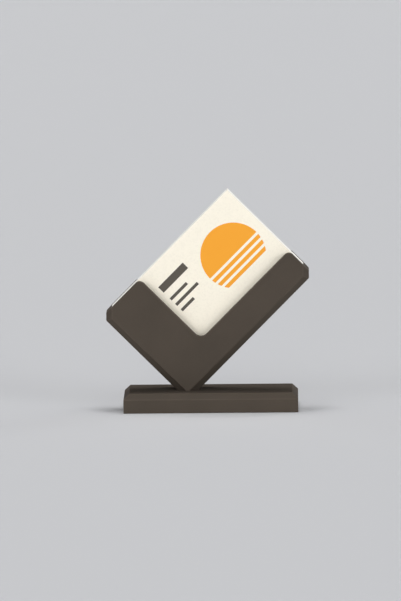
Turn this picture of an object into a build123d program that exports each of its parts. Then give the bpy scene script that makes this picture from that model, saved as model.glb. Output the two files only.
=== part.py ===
# Business card holder stand: a low base bar, a pocket standing on its corner, and a stack of cards.
# Origin at the middle of the underside, +X to the right, +Y to the back, +Z up, millimetres.
import os

from build123d import *

# Cards
card_length = 85.0
card_width = 55.0
card_thickness = 0.4
card_gap = 0.016
card_count = 24

# Base bar
base_length = 90.0
base_depth = 50.0
base_height = 10.0
base_bevel = 3.0

# Pocket walls
lower_wall = 7.0
face_wall = 5.0
left_cover = 20.5
right_cover = 10.5
corner_cut = 2.9
rim_bevel = 3.0
notch_radius = 4.0
leg_end_radius = 3.0

# Where the pocket's corner would end if it went on into the base
corner_x = -11.9
corner_sink = 5.4

# Tenon under the pocket
tenon_shoulder = 1.0
tenon_depth = 6.0
tenon_fit = 0.1

# How far a cutting shape runs past the face that it cuts
cut_overrun = 1.0

# Sizes that follow from those above
slot_depth = card_count * (card_thickness + card_gap) + card_gap
pocket_thickness = slot_depth + 2 * face_wall
pocket_length = lower_wall + card_length
pocket_width = lower_wall + card_width
left_leg = lower_wall + left_cover
right_leg = lower_wall + right_cover
tenon_width = 2 * (corner_sink - tenon_shoulder)
tenon_length = pocket_thickness - 2 * rim_bevel

# The pocket is drawn flat, with its length along x, its width along y and its front towards z,
# and this plane stands it on its corner at 45 degrees
pocket_plane = Plane(
    origin=(corner_x, 0, base_height - corner_sink),
    x_dir=(1, 0, 1),
    z_dir=(0, -1, 0),
)
neck_top = Pos(corner_x, 0, base_height)


def vertex_near(shape, x, y):
    return shape.vertices().sort_by_distance((x, y, 0))[0]


def pocket_outline():
    """The L shape of both face walls: a leg along each lower side, with rounded ends."""
    corners = [
        (0, 0),
        (pocket_length - corner_cut, 0),
        (pocket_length, corner_cut),
        (pocket_length, right_leg),
        (left_leg, right_leg),
        (left_leg, pocket_width),
        (corner_cut, pocket_width),
        (0, pocket_width - corner_cut),
    ]
    outline = make_face(Polyline(*corners, close=True))
    outline = fillet(vertex_near(outline, left_leg, right_leg), notch_radius)
    left_end = vertex_near(outline, left_leg, pocket_width)
    right_end = vertex_near(outline, pocket_length, right_leg)
    return fillet([left_end, right_end], leg_end_radius)


def on_lower_rim(edge):
    """True on the front and back edges of the lower sides and of the two cut corners."""
    middle = edge.center()
    on_a_face = abs(middle.Z) > slot_depth / 2
    return on_a_face and min(middle.X, middle.Y) < corner_cut


def make_pocket():
    block = extrude(pocket_outline(), pocket_thickness / 2, both=True)
    block = chamfer(block.edges().filter_by(on_lower_rim), rim_bevel)
    slot = Box(
        card_length + cut_overrun,
        card_width + cut_overrun,
        slot_depth,
        align=(Align.MIN, Align.MIN, Align.CENTER),
    )
    pocket = pocket_plane * (block - Pos(lower_wall, lower_wall, 0) * slot)
    below_base_top = Box(
        2 * (corner_sink + cut_overrun),
        pocket_thickness + 2 * cut_overrun,
        corner_sink + cut_overrun,
        align=(Align.CENTER, Align.CENTER, Align.MAX),
    )
    tenon = Box(
        tenon_width,
        tenon_length,
        tenon_depth,
        align=(Align.CENTER, Align.CENTER, Align.MAX),
    )
    return pocket - neck_top * below_base_top + neck_top * tenon


def make_base():
    bar = Box(
        base_length,
        base_depth,
        base_height,
        align=(Align.CENTER, Align.CENTER, Align.MIN),
    )
    top_rim = bar.faces().sort_by(Axis.Z)[-1].edges()
    bar = chamfer(top_rim, base_bevel)
    mortise_depth = tenon_depth + tenon_fit
    mortise = Box(
        tenon_width + 2 * tenon_fit,
        tenon_length + 2 * tenon_fit,
        mortise_depth + cut_overrun,
        align=(Align.CENTER, Align.CENTER, Align.MAX),
    )
    return bar - neck_top * Pos(0, 0, cut_overrun) * mortise


def make_card(number):
    """Card 1 is at the front of the slot. Its lower corner sits in the pocket's lower corner."""
    card = Box(
        card_length,
        card_width,
        card_thickness,
        align=(Align.MIN, Align.MIN, Align.MAX),
    )
    front = slot_depth / 2 - card_gap - (number - 1) * (card_thickness + card_gap)
    return pocket_plane * Pos(lower_wall, lower_wall, front) * card


os.makedirs("parts", exist_ok=True)
export_step(make_base(), "parts/base.step")
export_step(make_pocket(), "parts/card_pocket.step")
for number in range(1, card_count + 1):
    export_step(make_card(number), f"parts/card_{number:02d}.step")
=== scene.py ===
# %% [markdown]
# # A business card stand
# A low base bar carries a pocket that stands on its corner, and the pocket holds a stack of cards.
# The solids already have every size and place, in metres, with +Z up and the front towards -Y.
# So this lesson only does what a solid can't: softened edges, finishes, light and a camera.

# %% Load the solids
import math

import bmesh
import bpy
from mathutils import Matrix, Vector


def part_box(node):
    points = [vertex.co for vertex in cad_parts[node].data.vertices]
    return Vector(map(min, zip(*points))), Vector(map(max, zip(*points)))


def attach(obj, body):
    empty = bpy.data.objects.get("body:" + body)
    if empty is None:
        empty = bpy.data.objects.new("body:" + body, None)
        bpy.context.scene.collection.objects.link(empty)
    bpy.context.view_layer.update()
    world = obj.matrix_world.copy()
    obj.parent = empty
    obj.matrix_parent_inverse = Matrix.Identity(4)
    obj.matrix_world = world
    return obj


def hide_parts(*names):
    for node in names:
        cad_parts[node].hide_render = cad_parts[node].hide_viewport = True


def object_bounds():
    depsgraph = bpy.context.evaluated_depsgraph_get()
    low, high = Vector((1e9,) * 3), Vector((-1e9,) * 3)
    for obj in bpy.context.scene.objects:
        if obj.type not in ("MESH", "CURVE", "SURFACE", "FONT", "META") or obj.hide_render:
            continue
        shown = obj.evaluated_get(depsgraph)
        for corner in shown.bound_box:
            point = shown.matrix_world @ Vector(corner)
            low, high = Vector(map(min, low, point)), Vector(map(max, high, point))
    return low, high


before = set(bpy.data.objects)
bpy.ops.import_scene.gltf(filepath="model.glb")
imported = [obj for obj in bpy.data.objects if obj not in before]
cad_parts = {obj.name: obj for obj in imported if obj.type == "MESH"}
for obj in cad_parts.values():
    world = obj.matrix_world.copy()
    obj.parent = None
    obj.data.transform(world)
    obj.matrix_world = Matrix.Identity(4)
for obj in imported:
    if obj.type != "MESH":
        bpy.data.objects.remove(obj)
cad_low, cad_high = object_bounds()
STAND_NODES = ("base", "card_pocket")
card_names = sorted(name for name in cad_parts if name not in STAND_NODES)
print("loaded", len(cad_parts), "solids, of which", len(card_names), "are cards")

# %% [markdown]
# ## Where things are
# The print on a card has to follow the card, which leans at 45 degrees.
# The card's own corners give its two directions. Its lowest corner is the origin, its length runs up to the
# right corner, and its width up to the left one. Measuring them here keeps the finish tied to the solid.

# %% Measure the front card
MM = 0.001
card_points = [vertex.co.copy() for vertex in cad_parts[card_names[0]].data.vertices]
card_corner = min(card_points, key=lambda point: point.z)
right_corner = max(card_points, key=lambda point: point.x)
left_corner = min(card_points, key=lambda point: point.x)


def flat(step):
    """The same step without its part from front to back."""
    return Vector((step.x, 0, step.z))


length_step = flat(right_corner - card_corner)
width_step = flat(left_corner - card_corner)
along = length_step.normalized()
across = width_step.normalized()
front_low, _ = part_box(card_names[0])
next_low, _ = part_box(card_names[1])
card_pitch = next_low.y - front_low.y
print(f"card {length_step.length / MM:.1f} x {width_step.length / MM:.1f} mm")
print(f"one card every {card_pitch / MM:.3f} mm")

# %% [markdown]
# ## Which edges are soft
# Nothing moulded or printed ends in a knife edge: a radius of about 0.3 mm catches a thin line of light.
# A Bevel modifier would round the inside corners too, and push into the cards.
# So each solid is copied and cleaned to whole flat faces, and its outward edges are picked by their angle.

# %% Find the outward edges
WELD_DISTANCE = 0.001 * MM
FLAT_ANGLE = math.radians(0.5)
CREASE_ANGLE = math.radians(25)


def clean_form(name):
    """A copy of a solid to work on, with its corners joined and each flat face in one piece."""
    form = bmesh.new()
    form.from_mesh(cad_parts[name].data)
    bmesh.ops.remove_doubles(form, verts=form.verts[:], dist=WELD_DISTANCE)
    bmesh.ops.dissolve_limit(form, angle_limit=FLAT_ANGLE, verts=form.verts[:], edges=form.edges[:])
    return form


def outward_edges(form, wanted):
    """The edges that stick out, where wanted(middle of the edge) is true."""
    return [
        edge
        for edge in form.edges
        if edge.calc_face_angle_signed() > CREASE_ANGLE
        and wanted((edge.verts[0].co + edge.verts[1].co) / 2)
    ]


print(f"edges that turn outward by over {math.degrees(CREASE_ANGLE):.0f} degrees can be softened")

# %% [markdown]
# ## Softening a copy
# Those edges are then rounded with mesh code, which gives real faces that any light can catch.
# The new faces are marked with an attribute, because hands rub edges first, and the finish can then show it.
# A Weighted Normal modifier keeps the large faces looking flat right up to the rounding.

# %% Round the outward edges
HANDLED = "handled_edge"
ROUND_PROFILE = 0.5


def rounded_mesh(name, radius, segments, wanted):
    """The mesh of a solid with its wanted outward edges rounded, and how many edges that took."""
    form = clean_form(name)
    handled = form.faces.layers.float.new(HANDLED)
    outward = outward_edges(form, wanted)
    rounded = bmesh.ops.bevel(
        form,
        geom=outward,
        offset=radius,
        offset_type="OFFSET",
        segments=segments,
        profile=ROUND_PROFILE,
        affect="EDGES",
        clamp_overlap=True,
    )
    for face in rounded["faces"]:
        face[handled] = 1.0
    for face in form.faces:
        face.smooth = True
    for edge in form.edges:
        edge.smooth = True
    mesh = bpy.data.meshes.new(name + "_softened")
    form.to_mesh(mesh)
    form.free()
    return mesh, len(outward)


def softened_copy(name, radius, segments, wanted):
    """A piece that stands for a solid, with soft edges, and how many edges were softened."""
    mesh, edge_count = rounded_mesh(name, radius, segments, wanted)
    # Normals stored with the solid don't fit the new faces
    if "custom_normal" in mesh.attributes:
        mesh.attributes.remove(mesh.attributes["custom_normal"])
    piece = bpy.data.objects.new(name + "_finished", mesh)
    bpy.context.scene.collection.objects.link(piece)
    piece.modifiers.new("flat faces stay flat", "WEIGHTED_NORMAL")
    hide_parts(name)
    return piece, edge_count


print("rounded faces are marked as", HANDLED)

# %% [markdown]
# ## The stand's two pieces
# The base bar and the pocket are two mouldings, glued by a tenon. The foot of the pocket keeps its sharp
# edge, so that it sits tight on the bar, and so does the mortise, which nobody sees.

# %% Base and pocket
EDGE_RADIUS = 0.3 * MM
EDGE_SEGMENTS = 3
RIM_SHARE = 0.2
base_low, base_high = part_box("base")
rim = RIM_SHARE * (base_high.y - base_low.y)


def on_bar_rim(middle):
    """True on the bar's own edges, and false on the mortise, which lies well inside its rim."""
    inside_x = base_low.x + rim < middle.x < base_high.x - rim
    inside_y = base_low.y + rim < middle.y < base_high.y - rim
    return not (inside_x and inside_y)


def above_bar(middle):
    """True on the pocket's edges clear of the bar."""
    return middle.z > base_high.z + EDGE_RADIUS


base, base_edges = softened_copy("base", EDGE_RADIUS, EDGE_SEGMENTS, on_bar_rim)
pocket, pocket_edges = softened_copy("card_pocket", EDGE_RADIUS, EDGE_SEGMENTS, above_bar)
for piece in (base, pocket):
    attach(piece, "stand")
print("rounded", base_edges, "edges of the base and", pocket_edges, "of the pocket")

# %% [markdown]
# ## The cards
# Cut card has no radius to speak of, but the guillotine leaves its edge soft by some hundredths of a mm.
# That is what makes a stack of cards read as many thin lines, so each card gets it, all round.

# %% Cards
CARD_EDGE_RADIUS = 0.06 * MM
CARD_EDGE_SEGMENTS = 2


def all_round(middle):
    """True everywhere: every edge of a card is cut."""
    return True


cards = []
for name in card_names:
    card, _ = softened_copy(name, CARD_EDGE_RADIUS, CARD_EDGE_SEGMENTS, all_round)
    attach(card, name)
    cards.append(card)
print("softened", len(cards), "cards")

# %% [markdown]
# ## Shader helpers
# A finish is a small network of nodes, usually drawn by hand in the shader editor. Built by code, it can be
# read and repeated. One helper adds a node and fills its sockets, and three more do arithmetic with nodes.

# %% Nodes and arithmetic
def add(tree, kind, inputs=None, **settings):
    """Adds a node. A socket among the inputs is linked, and any other value is set."""
    node = tree.nodes.new(kind)
    for name, value in settings.items():
        setattr(node, name, value)
    for key, value in (inputs or {}).items():
        if isinstance(value, bpy.types.NodeSocket):
            tree.links.new(value, node.inputs[key])
        else:
            node.inputs[key].default_value = value
    return node


def calc(tree, operation, first, second=None):
    """One step of arithmetic on a value in a finish."""
    values = {0: first} if second is None else {0: first, 1: second}
    return add(tree, "ShaderNodeMath", values, operation=operation).outputs[0]


def vector_calc(tree, operation, first, second):
    """One step of arithmetic on two places or directions."""
    return add(tree, "ShaderNodeVectorMath", {0: first, 1: second}, operation=operation)


def rescale(tree, value, low, high, start=0.0, end=1.0):
    """A value from start to end, spread between low and high."""
    limits = {"Value": value, "From Min": start, "From Max": end, "To Min": low, "To Max": high}
    return add(tree, "ShaderNodeMapRange", limits).outputs["Result"]


print("node and arithmetic helpers ready")

# %% [markdown]
# ## Colours and patterns
# Colours are written as they look on a screen, from 0 to 255, and turned into the linear values of shaders.
# Real surfaces are never one flat colour, so a noise breaks it up. A relief tips the light on a surface
# whose grain is too fine to model.

# %% Colours, noise and relief
def paint(red, green, blue):
    """A linear colour from screen values, by the standard curve of screens."""
    shares = [channel / 255 for channel in (red, green, blue)]
    return [s / 12.92 if s <= 0.04045 else ((s + 0.055) / 1.055) ** 2.4 for s in shares] + [1.0]


def darker(colour, share):
    """The same colour with a share of its brightness."""
    return [channel * share for channel in colour[:3]] + [1.0]


def mix_colours(tree, share, first, second):
    """The first colour where share is 0 and the second where it is 1."""
    # Sockets 6 and 7 and output 2 are the ones for colours. The others mix numbers and vectors
    node = add(tree, "ShaderNodeMix", {0: share, 6: first, 7: second}, data_type="RGBA")
    return node.outputs[2]


def noise(tree, where, size, detail):
    """A soft random pattern, from 0 to 1, with features of about this size."""
    inputs = {"Vector": where, "Scale": 1 / size, "Detail": detail}
    return add(tree, "ShaderNodeTexNoise", inputs).outputs["Fac"]


def relief(tree, pattern, strength, depth):
    """Tips the surface as a pattern of this depth would, without changing the shape."""
    inputs = {"Height": pattern, "Strength": strength, "Distance": depth}
    return add(tree, "ShaderNodeBump", inputs).outputs["Normal"]


print("colour, noise and relief helpers ready")

# %% [markdown]
# ## Starting a finish
# Every finish starts from Blender's main shader and from the piece's own coordinates, in metres.
# Painting by place needs no unwrapping, and keeps a grain the same size on every piece.

# %% Starting and giving a finish
def new_finish(name):
    """A material, its node tree, its main shader and the coordinates that it is painted by."""
    material = bpy.data.materials.new(name)
    material.use_nodes = True
    tree = material.node_tree
    return material, tree, tree.nodes["Principled BSDF"], add(tree, "ShaderNodeTexCoord")


def give(piece, material):
    """Makes this the piece's only material."""
    piece.data.materials.clear()
    piece.data.materials.append(material)


print("finish helpers ready")

# %% [markdown]
# ## Satin plastic
# The stand is a warm, dark grey plastic with a satin skin: no mirror shine, and no pattern from a step away.
# Close up it has a fine grain. Three noises of very different sizes do it: wide clouds in the colour, smaller
# patches of gloss, and a grain of a third of a millimetre that speckles the colour and tips the surface.
# The rounded edges are rubbed a little paler and smoother, in patches, where the stand is picked up.

# %% Finish of the stand
CLOUD_SIZE = 25 * MM
CLOUD_DETAIL = 3.0
CLOUD_SHARE = 0.6
GLOSS_PATCH = 4 * MM
GLOSS_DETAIL = 2.0
GRAIN_SIZE = 0.3 * MM
GRAIN_DETAIL = 2.0
GRAIN_SHARE = 0.4
GRAIN_STRENGTH = 0.6
GRAIN_DEPTH = 0.06 * MM
DARK_SKIN = paint(67, 61, 54)
PALE_SKIN = paint(87, 78, 69)
RUBBED_SKIN = paint(91, 81, 72)
LEAST_RUB, MOST_RUB = 0.1, 0.9
SMOOTH_SATIN, ROUGH_SATIN = 0.6, 0.72
RUB_POLISH = 0.15
PLASTIC_SPECULAR = 0.1


def satin_plastic():
    """Clouded, finely grained plastic, rubbed in patches along its rounded edges."""
    material, tree, shader, place = new_finish("satin_dark_plastic")
    where = place.outputs["Object"]
    clouds = noise(tree, where, CLOUD_SIZE, CLOUD_DETAIL)
    gloss = noise(tree, where, GLOSS_PATCH, GLOSS_DETAIL)
    grain = noise(tree, where, GRAIN_SIZE, GRAIN_DETAIL)
    edges = add(tree, "ShaderNodeAttribute", attribute_name=HANDLED).outputs["Fac"]
    rubbed = calc(tree, "MULTIPLY", edges, rescale(tree, gloss, LEAST_RUB, MOST_RUB))
    cloud_part = calc(tree, "MULTIPLY", clouds, CLOUD_SHARE)
    grain_part = calc(tree, "MULTIPLY", grain, GRAIN_SHARE)
    mottle = calc(tree, "ADD", cloud_part, grain_part)
    skin = mix_colours(tree, mottle, DARK_SKIN, PALE_SKIN)
    satin = rescale(tree, gloss, SMOOTH_SATIN, ROUGH_SATIN)
    roughness = calc(tree, "SUBTRACT", satin, calc(tree, "MULTIPLY", rubbed, RUB_POLISH))
    tree.links.new(mix_colours(tree, rubbed, skin, RUBBED_SKIN), shader.inputs["Base Color"])
    tree.links.new(roughness, shader.inputs["Roughness"])
    tree.links.new(relief(tree, grain, GRAIN_STRENGTH, GRAIN_DEPTH), shader.inputs["Normal"])
    shader.inputs["Specular IOR Level"].default_value = PLASTIC_SPECULAR
    return material


plastic = satin_plastic()
for piece in (base, pocket):
    give(piece, plastic)
print("plastic finish on", base.name, "and", pocket.name)

# %% [markdown]
# ## Card stock
# Uncoated cream card is a little cloudy, with faint flecks of pulp, and whiter on its cut edges than on its
# faces. Each card in a stack differs a shade from the next, which shows along the edges.
# All the cards share one finish. It tells them apart by how far back a point lies, counted in cards.

# %% Paper
CREAM = paint(254, 247, 230)
CUT_EDGE = paint(253, 251, 245)
PULP_CLOUD = 2.5 * MM
PULP_DETAIL = 4.0
PULP_DARK_SHARE = 0.975
FLECK_SIZE = 0.9 * MM
FLECK_DETAIL = 1.0
FLECK_START, FLECK_END = 0.45, 0.85
FLECK_DARK_SHARE = 0.93
EDGE_DARK_SHARE = 0.93


def paper_face(tree, where):
    """Cream paper with clouds and flecks."""
    clouds = noise(tree, where, PULP_CLOUD, PULP_DETAIL)
    cloudy = mix_colours(tree, clouds, darker(CREAM, PULP_DARK_SHARE), CREAM)
    flecks = noise(tree, where, FLECK_SIZE, FLECK_DETAIL)
    flecked = rescale(tree, flecks, 0.0, 1.0, start=FLECK_START, end=FLECK_END)
    return mix_colours(tree, flecked, cloudy, darker(CREAM, FLECK_DARK_SHARE))


def paper_edge(tree, from_corner):
    """Whiter paper, in a shade that each card has of its own."""
    depth = add(tree, "ShaderNodeSeparateXYZ", {0: from_corner}).outputs["Y"]
    number = calc(tree, "ROUND", calc(tree, "DIVIDE", depth, card_pitch))
    shade = add(tree, "ShaderNodeTexWhiteNoise", {"W": number}, noise_dimensions="1D")
    return mix_colours(tree, shade.outputs["Value"], darker(CUT_EDGE, EDGE_DARK_SHARE), CUT_EDGE)


print("paper defined, for cards", round(card_pitch / MM, 3), "mm apart")

# %% [markdown]
# ## Print: bars
# The print has one thick bar over three thin ones, and a simple rising sun beside them.
# A picture would need a file and blur up close. So the print is drawn by arithmetic on the distance along and
# across the card: each shape is a test that gives 1 inside it and 0 outside, and stays sharp at any size.

# %% Bars
BAR_START = 24 * MM
HEAD_BAR = 4 * MM
LINE_BAR = 1.6 * MM
# How far up the card each bar's middle is, its length and its thickness
BARS = [
    (43 * MM, 18 * MM, HEAD_BAR),
    (36 * MM, 12 * MM, LINE_BAR),
    (32 * MM, 16 * MM, LINE_BAR),
    (28 * MM, 9 * MM, LINE_BAR),
]


def inside_bar(tree, length_place, width_place, bar):
    """1 inside one printed bar."""
    middle, length, thickness = bar
    past_start = calc(tree, "GREATER_THAN", length_place, BAR_START)
    before_end = calc(tree, "LESS_THAN", length_place, BAR_START + length)
    off_middle = calc(tree, "ABSOLUTE", calc(tree, "SUBTRACT", width_place, middle))
    in_height = calc(tree, "LESS_THAN", off_middle, thickness / 2)
    return calc(tree, "MULTIPLY", calc(tree, "MULTIPLY", past_start, before_end), in_height)


def inside_bars(tree, length_place, width_place):
    """1 inside any of the bars."""
    found = inside_bar(tree, length_place, width_place, BARS[0])
    for bar in BARS[1:]:
        found = calc(tree, "MAXIMUM", found, inside_bar(tree, length_place, width_place, bar))
    return found


print(len(BARS), "bars defined")

# %% [markdown]
# ## Print: rising sun
# The sun is one disc. Its upper half is solid, and of its lower half only three stripes are left.
# A disc is a test on the distance from its middle, and stripes are the fraction left after counting rows.

# %% Rising sun
SUN_PLACE = (63 * MM, 29 * MM)
SUN_RADIUS = 17 * MM
STRIPE_PITCH = 3.4 * MM
STRIPE_SHARE = 0.6
STRIPES_BELOW = 3


def inside_sun(tree, length_place, width_place):
    """1 inside the half disc and its stripes."""
    right = calc(tree, "SUBTRACT", length_place, SUN_PLACE[0])
    up = calc(tree, "SUBTRACT", width_place, SUN_PLACE[1])
    squares = calc(tree, "ADD", calc(tree, "MULTIPLY", right, right), calc(tree, "MULTIPLY", up, up))
    in_disc = calc(tree, "LESS_THAN", squares, SUN_RADIUS**2)
    rows_down = calc(tree, "DIVIDE", up, -STRIPE_PITCH)
    in_stripe = calc(tree, "GREATER_THAN", calc(tree, "FRACT", rows_down), 1 - STRIPE_SHARE)
    above = calc(tree, "GREATER_THAN", up, 0.0)
    in_rows = calc(tree, "LESS_THAN", rows_down, float(STRIPES_BELOW))
    shown = calc(tree, "MAXIMUM", above, calc(tree, "MULTIPLY", in_stripe, in_rows))
    return calc(tree, "MULTIPLY", in_disc, shown)


print(f"sun {2 * SUN_RADIUS / MM:.0f} mm wide, over {STRIPES_BELOW} stripes")

# %% [markdown]
# ## The whole card
# The way that a face points tells the front from the back and from the cut edges, so one finish serves all.
# Only the front is printed. The ink lies a little glossier than the paper, and short fibres tip the surface.

# %% Finish of the cards
ORANGE_INK = paint(248, 168, 52)
GREY_INK = paint(92, 86, 78)
FACING_LIMIT = 0.5
FIBRE_SIZE = 0.35 * MM
FIBRE_DETAIL = 3.0
FIBRE_STRENGTH = 0.2
FIBRE_DEPTH = 0.015 * MM
PAPER_ROUGHNESS = 0.8
INK_ROUGHNESS = 0.6
CARD_SPECULAR = 0.2


def card_stock():
    """Cream card with white cut edges, printed on its front."""
    material, tree, shader, place = new_finish("cream_card_stock")
    where = place.outputs["Object"]
    from_corner = vector_calc(tree, "SUBTRACT", where, card_corner).outputs[0]
    length_place = vector_calc(tree, "DOT_PRODUCT", from_corner, along).outputs["Value"]
    width_place = vector_calc(tree, "DOT_PRODUCT", from_corner, across).outputs["Value"]
    facing = add(tree, "ShaderNodeSeparateXYZ", {0: place.outputs["Normal"]}).outputs["Y"]
    on_front = calc(tree, "LESS_THAN", facing, -FACING_LIMIT)
    on_edge = calc(tree, "LESS_THAN", calc(tree, "ABSOLUTE", facing), FACING_LIMIT)

    paper = mix_colours(tree, on_edge, paper_face(tree, where), paper_edge(tree, from_corner))
    orange = calc(tree, "MULTIPLY", inside_sun(tree, length_place, width_place), on_front)
    grey = calc(tree, "MULTIPLY", inside_bars(tree, length_place, width_place), on_front)
    printed = mix_colours(tree, grey, mix_colours(tree, orange, paper, ORANGE_INK), GREY_INK)
    inked = calc(tree, "MAXIMUM", grey, orange)
    roughness = rescale(tree, inked, PAPER_ROUGHNESS, INK_ROUGHNESS)
    fibres = noise(tree, where, FIBRE_SIZE, FIBRE_DETAIL)
    tree.links.new(printed, shader.inputs["Base Color"])
    tree.links.new(roughness, shader.inputs["Roughness"])
    tree.links.new(relief(tree, fibres, FIBRE_STRENGTH, FIBRE_DEPTH), shader.inputs["Normal"])
    shader.inputs["Specular IOR Level"].default_value = CARD_SPECULAR
    return material


stock = card_stock()
for card in cards:
    give(card, stock)
print("card finish on", len(cards), "cards")

# %% [markdown]
# ## Floor
# A plain pale floor takes the stand's shadow and throws some light back up under the pocket.
# Photographers let the floor run up into the wall behind, so that no line shows in the picture.
# This one is a very shallow dish for the same reason: flat under the stand, and rising gently far away.

# %% Shape of the floor
FLAT_REACH = 0.6
FLOOR_REACH = 6.2
FLOOR_RISE = 0.0115
FLOOR_RINGS = 24
FLOOR_STEPS = 72


def dish_mesh():
    """Rings round a flat middle, each a little higher than the one inside it."""
    points = []
    for ring in range(FLOOR_RINGS + 1):
        reach = FLAT_REACH + (FLOOR_REACH - FLAT_REACH) * ring / FLOOR_RINGS
        height = cad_low.z + FLOOR_RISE * (reach - FLAT_REACH) ** 2
        for step in range(FLOOR_STEPS):
            turn = math.tau * step / FLOOR_STEPS
            points.append((reach * math.cos(turn), reach * math.sin(turn), height))
    faces = [tuple(range(FLOOR_STEPS))]
    for ring in range(FLOOR_RINGS):
        for step in range(FLOOR_STEPS):
            here = ring * FLOOR_STEPS + step
            beside = ring * FLOOR_STEPS + (step + 1) % FLOOR_STEPS
            faces.append((here, here + FLOOR_STEPS, beside + FLOOR_STEPS, beside))
    mesh = bpy.data.meshes.new("floor")
    mesh.from_pydata(points, [], faces)
    mesh.shade_smooth()
    return mesh


floor = bpy.data.objects.new("floor", dish_mesh())
bpy.context.scene.collection.objects.link(floor)
print("floor", 2 * FLOOR_REACH, "m wide")

# %% [markdown]
# ## Colour of the floor
# The floor is all that shows behind the stand, so its colour sets how pale the picture's background is.
# Stronger lamps would make it paler too, but they would bleach the cards.

# %% Colour of the floor
FLOOR_COLOUR = paint(212, 213, 216)
FLOOR_ROUGHNESS = 0.9
pale, _, floor_shader, _ = new_finish("pale_floor")
floor_shader.inputs["Base Color"].default_value = FLOOR_COLOUR
floor_shader.inputs["Roughness"].default_value = FLOOR_ROUGHNESS
floor_shader.inputs["Specular IOR Level"].default_value = 0.0
give(floor, pale)
print("floor finish", pale.name)

# %% [markdown]
# ## Light
# Plain studio light, as for a catalogue picture. A soft light overhead, a little to the back, brightens the
# upper edges of the cards. It leaves the front of the bar's top dark, because the pocket stands between them.
# A front light and two low ones at its sides light the faces. Two low ones behind light the back, and the
# right one is the stronger, so that the stand's right ends are brighter than its left ones.
# Sun lamps with wide discs do this evenly over the whole floor, where soft boxes would leave bright pools.
# The floor's far rim hides about half of each low disc, so their shares are larger than they look.
# A white surface square to a sun lamp of strength pi looks fully white, so strengths are shares of pi.

# %% Lamps
def soft_sun(name, azimuth, elevation, spread, share):
    """A far, wide light. Azimuth 0 is straight in front, 90 is to the right and 180 is behind."""
    turn = math.radians(azimuth)
    rise = math.radians(elevation)
    way = Vector((math.sin(turn) * math.cos(rise), -math.cos(turn) * math.cos(rise), math.sin(rise)))
    lamp = bpy.data.lights.new(name, "SUN")
    lamp.angle = math.radians(spread)
    lamp.energy = share * math.pi
    holder = bpy.data.objects.new(name, lamp)
    holder.matrix_world = way.to_track_quat("Z", "Y").to_matrix().to_4x4()
    bpy.context.scene.collection.objects.link(holder)
    return holder


lamps = [
    soft_sun("top_light", azimuth=180, elevation=80, spread=30, share=0.54),
    soft_sun("front_light", azimuth=0, elevation=30, spread=30, share=0.21),
    soft_sun("front_right_light", azimuth=45, elevation=6, spread=40, share=0.59),
    soft_sun("front_left_light", azimuth=-45, elevation=6, spread=40, share=0.6),
    soft_sun("back_right_light", azimuth=130, elevation=5, spread=20, share=0.42),
    soft_sun("back_left_light", azimuth=-130, elevation=5, spread=20, share=0.18),
]
print("lamps:", ", ".join(lamp.name for lamp in lamps))

# %% [markdown]
# ## Room light
# In a real room a little light comes from every side, and keeps slots and hollows from going black.
# An even world of one colour is the simplest way to give it.

# %% Room light
ROOM_LIGHT = 0.02
room = bpy.data.worlds.new("room")
room.use_nodes = True
background = room.node_tree.nodes["Background"]
background.inputs["Color"].default_value = (1, 1, 1, 1)
background.inputs["Strength"].default_value = ROOM_LIGHT
bpy.context.scene.world = room
print("room light", ROOM_LIGHT)

# %% [markdown]
# ## Where the camera looks
# The picture is taken from slightly above, and it leans by half a degree.
# Three directions say so: right and up in the picture, and backward, from the stand to the camera.
# A constraint that points the camera at the stand would be quicker, but it keeps the picture level.

# %% Directions of the view
CAMERA_ELEVATION = math.radians(5.68)
CAMERA_TURN = math.radians(0.532)
CAMERA_ROLL = math.radians(0.526)
level_right = Vector((math.cos(CAMERA_TURN), math.sin(CAMERA_TURN), 0))
level_up = Vector((
    -math.sin(CAMERA_TURN) * math.sin(CAMERA_ELEVATION),
    math.cos(CAMERA_TURN) * math.sin(CAMERA_ELEVATION),
    math.cos(CAMERA_ELEVATION),
))
right = math.cos(CAMERA_ROLL) * level_right - math.sin(CAMERA_ROLL) * level_up
up = math.sin(CAMERA_ROLL) * level_right + math.cos(CAMERA_ROLL) * level_up
backward = right.cross(up)
print("the camera looks along", [round(share, 3) for share in -backward])

# %% [markdown]
# ## Camera and lens
# The picture is almost without perspective, so the camera stands far off with a very long lens.
# The size of a card in the picture sets its scale, and the place of the stand's origin sets its aim.

# %% Camera
PICTURE_WIDTH = 401
PICTURE_HEIGHT = 601
PIXELS_PER_METRE = 1933.8
ORIGIN_PIXEL = (211.20, 407.75)
CAMERA_DISTANCE = 5.5
CLIP_FACTOR = 4
aim = (
    right * ((PICTURE_WIDTH / 2 - ORIGIN_PIXEL[0]) / PIXELS_PER_METRE)
    + up * ((ORIGIN_PIXEL[1] - PICTURE_HEIGHT / 2) / PIXELS_PER_METRE)
)
lens = bpy.data.cameras.new("camera")
# The sensor's width is fitted to the longer side of the picture, which is its height
lens.lens = lens.sensor_width * CAMERA_DISTANCE / (PICTURE_HEIGHT / PIXELS_PER_METRE)
lens.clip_end = CLIP_FACTOR * CAMERA_DISTANCE
camera = bpy.data.objects.new("camera", lens)
turned = Matrix((right, up, backward)).transposed().to_4x4()
camera.matrix_world = Matrix.Translation(aim + backward * CAMERA_DISTANCE) @ turned
bpy.context.scene.collection.objects.link(camera)
bpy.context.scene.camera = camera
bpy.context.scene.view_settings.view_transform = "Standard"
print(f"camera {CAMERA_DISTANCE} m away with a {lens.lens:.0f} mm lens")
